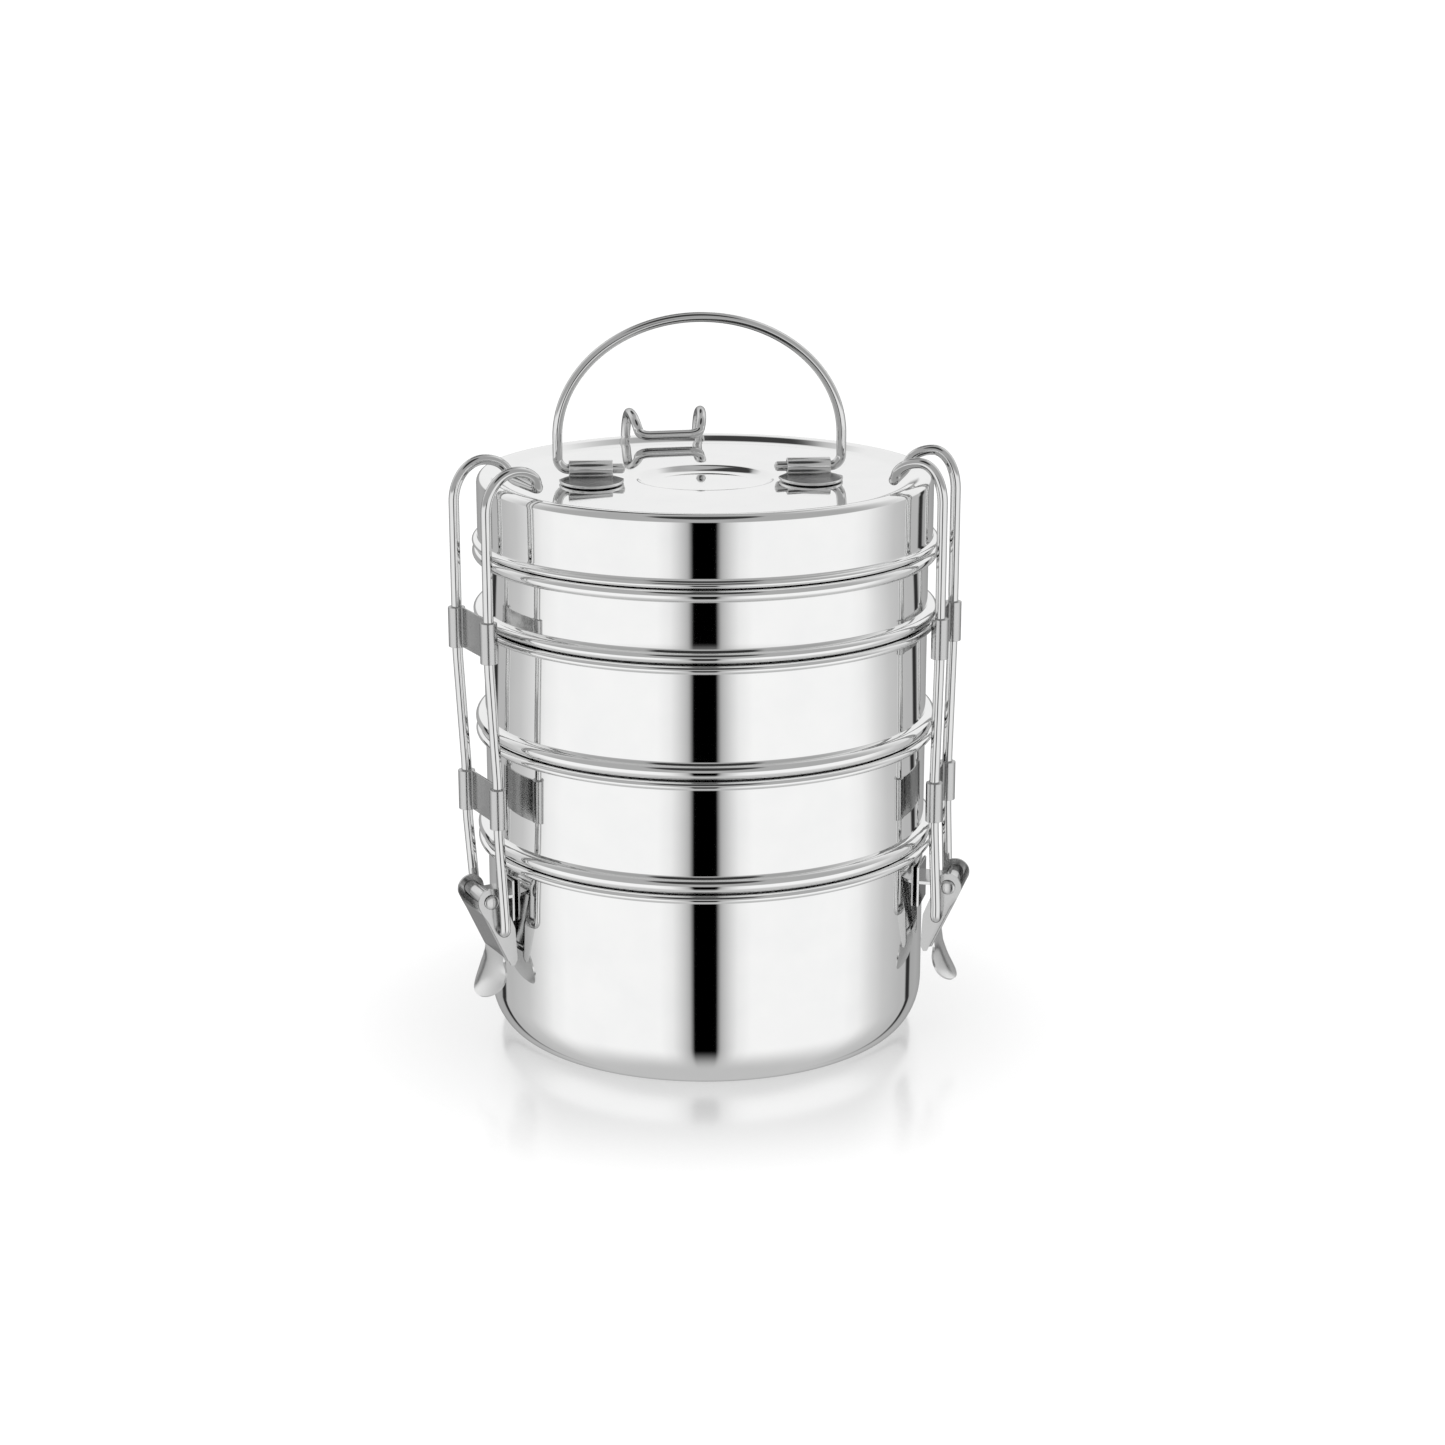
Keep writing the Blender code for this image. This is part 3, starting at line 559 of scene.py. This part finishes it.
def lever_piece(name):
    """Channel-shaped lever: two cheeks with round tops and a web with rolled bends; the spoon-shaped tongue is a
    separate piece.
    """
    rows = 28
    full_bend = 0.8 * MM
    outer_top = Vector((3.95 * MM, -1.44 * MM))
    outer_end = Vector((-5.3 * MM, -21.4 * MM))
    inner = [(-4.14 * MM, -0.73 * MM), (-7.6 * MM, -9.5 * MM), (-8.2 * MM, -19.8 * MM), (-7.3 * MM, -21.6 * MM)]
    inner = [Vector(p) for p in inner]
    marks = [0.0, 0.42, 0.92, 1.0]
    web_from = 0.10
    web_to = 0.90
    half = CHEEK_OUTER

    def inner_at(t):
        for a, b, p, q in zip(marks, marks[1:], inner, inner[1:]):
            if t <= b:
                return p.lerp(q, (t - a) / (b - a))
        return inner[-1]

    vertices = []
    faces = []

    def add(x, y, z):
        vertices.append((x, y, z))
        return len(vertices) - 1

    grid = []
    for i in range(rows + 1):
        t = i / rows
        out = outer_top.lerp(outer_end, t)
        inn = inner_at(t)
        across = (inn - out).normalized()
        bend = full_bend * min(1.0, max(0.02, (t - web_from) / 0.14))
        line = []
        for step in range(5):
            p = inn.lerp(out + across * bend, step / 4.0)
            line.append((p.x, half, p.y))
        for step in range(1, 6):
            angle = math.radians(90.0 * step / 6)
            p = out + across * (bend * (1.0 - math.sin(angle)))
            line.append((p.x, half - bend * (1.0 - math.cos(angle)), p.y))
        for step in range(4):
            line.append((out.x, (half - bend) * (1.0 - step / 4.0), out.y))
        mirror = [(x, -y, z) for x, y, z in reversed(line)]
        middle = (out.x, 0.0, out.y)
        full = line + [middle] + mirror
        grid.append([add(*p) for p in full])
    width = len(grid[0])
    for i in range(rows):
        for k in range(width - 1):
            cheek = k < 4 or k >= width - 5
            if cheek or web_from <= i / rows <= web_to:
                faces.append((grid[i][k], grid[i][k + 1], grid[i + 1][k + 1], grid[i + 1][k]))
    for sign, picks in ((1.0, range(0, 5)), (-1.0, range(width - 5, width))):
        row = [grid[0][k] for k in picks]
        if sign > 0:
            row = list(reversed(row))
        crown = arc(0.0, 0.0, 4.2 * MM, 4.2 * MM, -10.0, 180.0, 22)
        rim = [add(x, sign * half, z) for x, z in crown]
        faces.append(tuple(reversed(row)) + tuple(rim))
    # The channel uses the darker copy of the lever steel: painted shade on the cheeks and web.
    sheet = make(name, vertices, faces, LEVER_STEEL_PAINTED_SHADE, 50.0)
    thick = sheet.modifiers.new("sheet", "SOLIDIFY")
    thick.thickness = SHEET
    thick.offset = -1.0
    thick.use_even_offset = True
    soften(sheet, 0.14 * MM, 2, 50.0)
    return sheet


def tongue_piece(name):
    """Spoon-shaped thumb tongue, thin sheet that bulges outward."""
    lines = 26
    across = 18
    centre = 7.0 * MM
    reach = 7.8 * MM
    vertices = []
    faces = []
    start = -1.0 * MM
    stop = centre + reach * 0.999
    for i in range(lines + 1):
        u = i / lines
        s = start + (stop - start) * math.sin(0.5 * math.pi * u)
        along = (s - centre) / reach
        oval = 9.2 * MM * math.sqrt(max(0.0, 1.0 - min(1.0, along * along)))
        half = max(oval, 7.0 * MM) if s < centre else oval
        half = max(half, 0.05 * MM)
        for k in range(across + 1):
            w = -1.0 + 2.0 * k / across
            fullness = min(1.0, max(0.0, s / (4.0 * MM)))
            bulge = -1.5 * MM * fullness * (w * half / (9.2 * MM)) ** 2 + 1.2 * MM * max(0.0, along) ** 2
            vertices.append((bulge, half * w, -s))
    for i in range(lines):
        for k in range(across):
            a = i * (across + 1) + k
            faces.append((a, a + 1, a + across + 2, a + across + 1))
    # The tongue uses the lighter copy of the lever steel: a painted highlight for the light it catches.
    sheet = make(name, vertices, faces, TONGUE_STEEL_PAINTED_HIGHLIGHT, 60.0)
    thick = sheet.modifiers.new("sheet", "SOLIDIFY")
    thick.thickness = 0.75 * MM
    thick.offset = 0.0
    soften(sheet, 0.12 * MM, 2, 50.0)
    return sheet


def rivet_piece(name):
    """Rivet with low domed heads, along Y."""
    head = CHEEK_OUTER + 0.3 * MM
    dome = arc(0.0, head, PIN_HEAD_R, 0.6 * MM, 0.0, 90.0, 8)
    profile = [(0.0, head + 0.6 * MM)] + [p for p in reversed(dome)][1:] + [(PIN_R, head - 0.05 * MM)]
    mirror = [(r, -z) for r, z in reversed(profile)]
    body = lathe(name, profile + mirror, PIN_STEEL, 32, 40.0)
    body.data.transform(Matrix.Rotation(math.radians(90.0), 4, "X"))
    return body


for label, clip in CLIPS.items():
    turn = Matrix.Rotation(math.radians(clip["azimuth"]), 4, "Z")
    pivot = turn @ Matrix.Translation((clip["pivot_r"], 0.0, clip["pivot_z"]))
    lever_body = "lever_" + label
    clip_body = "clip_" + label

    hairpin = tube("hairpin_" + label, clip_line(clip), CLIP_WIRE_R, WIRE_STEEL, 24)
    put(hairpin, turn, clip_body, "wire_steel", "clip_wire_" + label)
    levels = (
        ("upper", clip["leg_high_r"], LEG_HIGH_Y, UPPER_PLATE_Z),
        ("lower", clip["leg_mid_r"], LEG_MID_Y, LOWER_PLATE_Z),
    )
    for level, leg_r, leg_y, span in levels:
        tag = level + "_" + label
        strip = slab("strip_" + tag, strip_outline(leg_y), span[0], span[1], STRIP_STEEL, 0.12 * MM)
        place = turn @ Matrix.Translation((leg_r, 0.0, clip["strip_lift"]))
        put(strip, place, clip_body, "strip_steel", "clip_plate_" + tag)

    put(lever_piece("lever_channel_" + label), pivot, lever_body, "lever_steel", "latch_lever_" + label)
    tilt = Matrix.Translation((-4.4 * MM, 0.0, -18.8 * MM)) @ Matrix.Rotation(math.radians(-20.0), 4, "Y")
    put(tongue_piece("lever_tongue_" + label), pivot @ tilt, lever_body, "lever_steel")

    knuckle = rolled_tube("knuckle_" + label, KNUCKLE_R, KNUCKLE_BORE_R, KNUCKLE_HALF, KNUCKLE_STEEL)
    put(knuckle, pivot @ Matrix.Rotation(math.radians(90.0), 4, "Z"), "base", "knuckle_steel", "latch_bracket_" + label)
    wall_x = WALL_R + SEAT_GAP - clip["pivot_r"]
    pad = [(-6.2 * MM, -8.0 * MM), (6.2 * MM, -8.0 * MM), (6.2 * MM, 5.0 * MM), (-6.2 * MM, 5.0 * MM)]
    pad_piece = slab("knuckle_pad_" + label, pad, 0.0, 0.9 * MM, KNUCKLE_STEEL, 0.2 * MM)
    stand = Matrix(((0.0, 0.0, 1.0, wall_x), (1.0, 0.0, 0.0, 0.0), (0.0, 1.0, 0.0, 0.0), (0.0, 0.0, 0.0, 1.0)))
    put(pad_piece, pivot @ stand, "base", "knuckle_steel")
    reach = [(-6.2 * MM, wall_x + 0.3 * MM), (6.2 * MM, wall_x + 0.3 * MM), (6.2 * MM, -1.9 * MM), (-6.2 * MM, -1.9 * MM)]
    tab = slab("knuckle_tab_" + label, [(y, x) for x, y in reach], -0.5 * MM, 0.6 * MM, KNUCKLE_STEEL, 0.12 * MM)
    put(tab, pivot, "base", "knuckle_steel")
    put(rivet_piece("rivet_" + label), pivot, "base", "pin_steel", "latch_pin_" + label)


# ----------------------------------------------------------------------------
# Floor
# ----------------------------------------------------------------------------
FLOOR_GLOSS_ROUGHNESS = 0.16
FLOOR_GLOSS_SHARE = 0.55
FLOOR_GLOSS_R = (0.050, 0.155)
FLOOR_HALF = 9.0
FLOOR_DROP = 0.00005


def floor_material():
    """Pale studio acrylic: matte white with a gloss that fades away from the object."""
    material = bpy.data.materials.new("studio_floor")
    material.use_nodes = True
    nodes = material.node_tree.nodes
    links = material.node_tree.links
    nodes.clear()
    output = nodes.new("ShaderNodeOutputMaterial")
    matte = nodes.new("ShaderNodeBsdfDiffuse")
    matte.inputs["Color"].default_value = (0.42, 0.42, 0.42, 1.0)
    glow = nodes.new("ShaderNodeEmission")
    glow.inputs["Color"].default_value = (1.0, 1.0, 1.0, 1.0)
    glow.inputs["Strength"].default_value = 0.84
    white = nodes.new("ShaderNodeAddShader")
    links.new(matte.outputs["BSDF"], white.inputs[0])
    links.new(glow.outputs["Emission"], white.inputs[1])
    gloss = nodes.new("ShaderNodeBsdfGlossy")
    gloss.inputs["Roughness"].default_value = FLOOR_GLOSS_ROUGHNESS
    coords = nodes.new("ShaderNodeTexCoord")
    length = nodes.new("ShaderNodeVectorMath")
    length.operation = "LENGTH"
    links.new(coords.outputs["Object"], length.inputs[0])
    fade = nodes.new("ShaderNodeMapRange")
    fade.interpolation_type = "SMOOTHSTEP"
    fade.inputs["From Min"].default_value = FLOOR_GLOSS_R[0]
    fade.inputs["From Max"].default_value = FLOOR_GLOSS_R[1]
    fade.inputs["To Min"].default_value = FLOOR_GLOSS_SHARE
    fade.inputs["To Max"].default_value = 0.0
    links.new(length.outputs["Value"], fade.inputs["Value"])
    mix = nodes.new("ShaderNodeMixShader")
    links.new(fade.outputs["Result"], mix.inputs["Fac"])
    links.new(white.outputs["Shader"], mix.inputs[1])
    links.new(gloss.outputs["BSDF"], mix.inputs[2])
    links.new(mix.outputs["Shader"], output.inputs["Surface"])
    return material


floor_mesh = bpy.data.meshes.new("studio_floor")
FLOOR_CORNERS = [(x * FLOOR_HALF, y * FLOOR_HALF, 0.0) for x, y in ((-1, -1), (1, -1), (1, 1), (-1, 1))]
floor_mesh.from_pydata(FLOOR_CORNERS, [], [(0, 1, 2, 3)])
floor_mesh.materials.append(floor_material())
floor = bpy.data.objects.new("studio_floor", floor_mesh)
bpy.context.scene.collection.objects.link(floor)
floor.location.z = -FLOOR_DROP
floor.visible_glossy = False


# ----------------------------------------------------------------------------
# Soft studio surround: white with grey falloff, a dark slot at the front and two thin dark slots at the back
# ----------------------------------------------------------------------------
# Brightness against the angle from straight in front, in degrees
SWEEP_STOPS = (
    (0.0, 0.0), (5.6, 0.0), (6.8, 0.22), (8.0, 0.46), (10.0, 0.58), (13.0, 0.73), (17.0, 0.90), (24.0, 1.0),
    (78.0, 1.0), (88.0, 0.93), (97.0, 0.76), (108.0, 0.60), (126.0, 0.50), (133.0, 0.50), (135.0, 0.03),
    (139.0, 0.03), (141.0, 0.40), (152.0, 0.42), (166.0, 0.34), (180.0, 0.28),
)
# Dim patches above: direction, inner and outer radius in degrees, brightness
DIM_PATCHES = (
    ((-0.10, 0.40, 0.91), 20.0, 34.0, 0.42),
    ((0.0, 0.12, 0.99), 16.0, 22.0, 0.46),
    ((0.0, -0.52, 0.85), 18.0, 24.0, 0.04),
    ((-0.17, 0.56, 0.81), 11.0, 15.0, 0.05),
)


def surround():
    """World light that depends only on direction."""
    world = bpy.data.worlds.new("studio")
    bpy.context.scene.world = world
    world.use_nodes = True
    nodes = world.node_tree.nodes
    links = world.node_tree.links
    nodes.clear()
    output = nodes.new("ShaderNodeOutputWorld")
    coords = nodes.new("ShaderNodeTexCoord")
    split = nodes.new("ShaderNodeSeparateXYZ")
    links.new(coords.outputs["Generated"], split.inputs["Vector"])

    back = nodes.new("ShaderNodeMath")
    back.operation = "MULTIPLY"
    back.inputs[1].default_value = -1.0
    links.new(split.outputs["Y"], back.inputs[0])
    turn = nodes.new("ShaderNodeMath")
    turn.operation = "ARCTAN2"
    links.new(split.outputs["X"], turn.inputs[0])
    links.new(back.outputs["Value"], turn.inputs[1])
    even = nodes.new("ShaderNodeMath")
    even.operation = "ABSOLUTE"
    links.new(turn.outputs["Value"], even.inputs[0])
    part = nodes.new("ShaderNodeMath")
    part.operation = "DIVIDE"
    part.inputs[1].default_value = math.pi
    links.new(even.outputs["Value"], part.inputs[0])

    ramp = nodes.new("ShaderNodeValToRGB")
    ramp.color_ramp.interpolation = "LINEAR"
    elements = ramp.color_ramp.elements
    elements[0].position = 0.0
    elements[0].color = (0.0, 0.0, 0.0, 1.0)
    elements[1].position = 1.0
    elements[1].color = (SWEEP_STOPS[-1][1],) * 3 + (1.0,)
    for angle, value in SWEEP_STOPS[1:-1]:
        element = elements.new(angle / 180.0)
        element.color = (value, value, value, 1.0)
    links.new(part.outputs["Value"], ramp.inputs["Fac"])

    def fade(source, low, high, start, stop):
        """Smooth step from start to stop as source goes from low to high."""
        step = nodes.new("ShaderNodeMapRange")
        step.interpolation_type = "SMOOTHSTEP"
        step.inputs["From Min"].default_value = low
        step.inputs["From Max"].default_value = high
        step.inputs["To Min"].default_value = start
        step.inputs["To Max"].default_value = stop
        links.new(source, step.inputs["Value"])
        return step.outputs["Result"]

    def mixed(factor, first, second):
        """Blend two brightness values."""
        node = nodes.new("ShaderNodeMix")
        node.data_type = "FLOAT"
        for socket, value in ((node.inputs[0], factor), (node.inputs[2], first), (node.inputs[3], second)):
            if isinstance(value, float):
                socket.default_value = value
            else:
                links.new(value, socket)
        return node.outputs[0]

    def patch(direction, inner, outer):
        """1 inside a round patch of the surround, fading to 0 at its rim; angles in degrees."""
        aim = Vector(direction).normalized()
        dot = nodes.new("ShaderNodeVectorMath")
        dot.operation = "DOT_PRODUCT"
        dot.inputs[1].default_value = aim
        links.new(coords.outputs["Generated"], dot.inputs[0])
        return fade(dot.outputs["Value"], math.cos(math.radians(outer)), math.cos(math.radians(inner)), 0.0, 1.0)

    height = split.outputs["Z"]
    upper = fade(part.outputs["Value"], 0.42, 0.76, 0.44, 0.92)
    level = mixed(fade(height, 0.02, 0.12, 0.0, 1.0), ramp.outputs["Color"], upper)
    level = mixed(fade(height, -0.95, -0.45, 1.0, 0.0), level, 0.56)
    for direction, inner, outer, shade in DIM_PATCHES:
        level = mixed(patch(direction, inner, outer), level, shade)

    light = nodes.new("ShaderNodeBackground")
    light.inputs["Strength"].default_value = 1.0
    links.new(level, light.inputs["Color"])
    plain = nodes.new("ShaderNodeBackground")
    plain.inputs["Color"].default_value = (1.0, 1.0, 1.0, 1.0)
    plain.inputs["Strength"].default_value = 1.05
    path = nodes.new("ShaderNodeLightPath")
    choose = nodes.new("ShaderNodeMixShader")
    links.new(path.outputs["Is Camera Ray"], choose.inputs["Fac"])
    links.new(light.outputs["Background"], choose.inputs[1])
    links.new(plain.outputs["Background"], choose.inputs[2])
    links.new(choose.outputs["Shader"], output.inputs["Surface"])


surround()


def softbox(name, location, target, size, power):
    """A large soft area light that lights the floor and the satin fittings."""
    data = bpy.data.lights.new(name, "AREA")
    data.shape = "RECTANGLE"
    data.size = size[0]
    data.size_y = size[1]
    data.energy = power
    lamp = bpy.data.objects.new(name, data)
    bpy.context.scene.collection.objects.link(lamp)
    lamp.location = location
    aim = Vector(target) - Vector(location)
    lamp.rotation_euler = aim.to_track_quat("-Z", "Y").to_euler()
    lamp.visible_glossy = False
    lamp.visible_camera = False
    return lamp


softbox("overhead_softbox", (0.0, -0.4, 1.8), (0.0, 0.0, 0.08), (1.6, 1.6), 6.0)

# ----------------------------------------------------------------------------
# Camera
# ----------------------------------------------------------------------------
# Fitted to the photo; the focal length is a share of the picture's width
SENSOR_MM = 36.0
FOCAL_TO_WIDTH = 2789.1 / 1445.0
CAMERA_PLACE = (0.0053, -0.8434, 0.3300)
CAMERA_PITCH = 15.53
camera_data = bpy.data.cameras.new("camera")
camera_data.sensor_width = SENSOR_MM
camera_data.lens = FOCAL_TO_WIDTH * SENSOR_MM
camera_data.clip_end = 60.0
camera = bpy.data.objects.new("camera", camera_data)
bpy.context.scene.collection.objects.link(camera)
camera.location = CAMERA_PLACE
camera.rotation_euler = (math.radians(90.0 - CAMERA_PITCH), 0.0, 0.0)
bpy.context.scene.camera = camera

bpy.context.scene.view_settings.view_transform = "Standard"
bpy.context.scene.view_settings.look = "None"
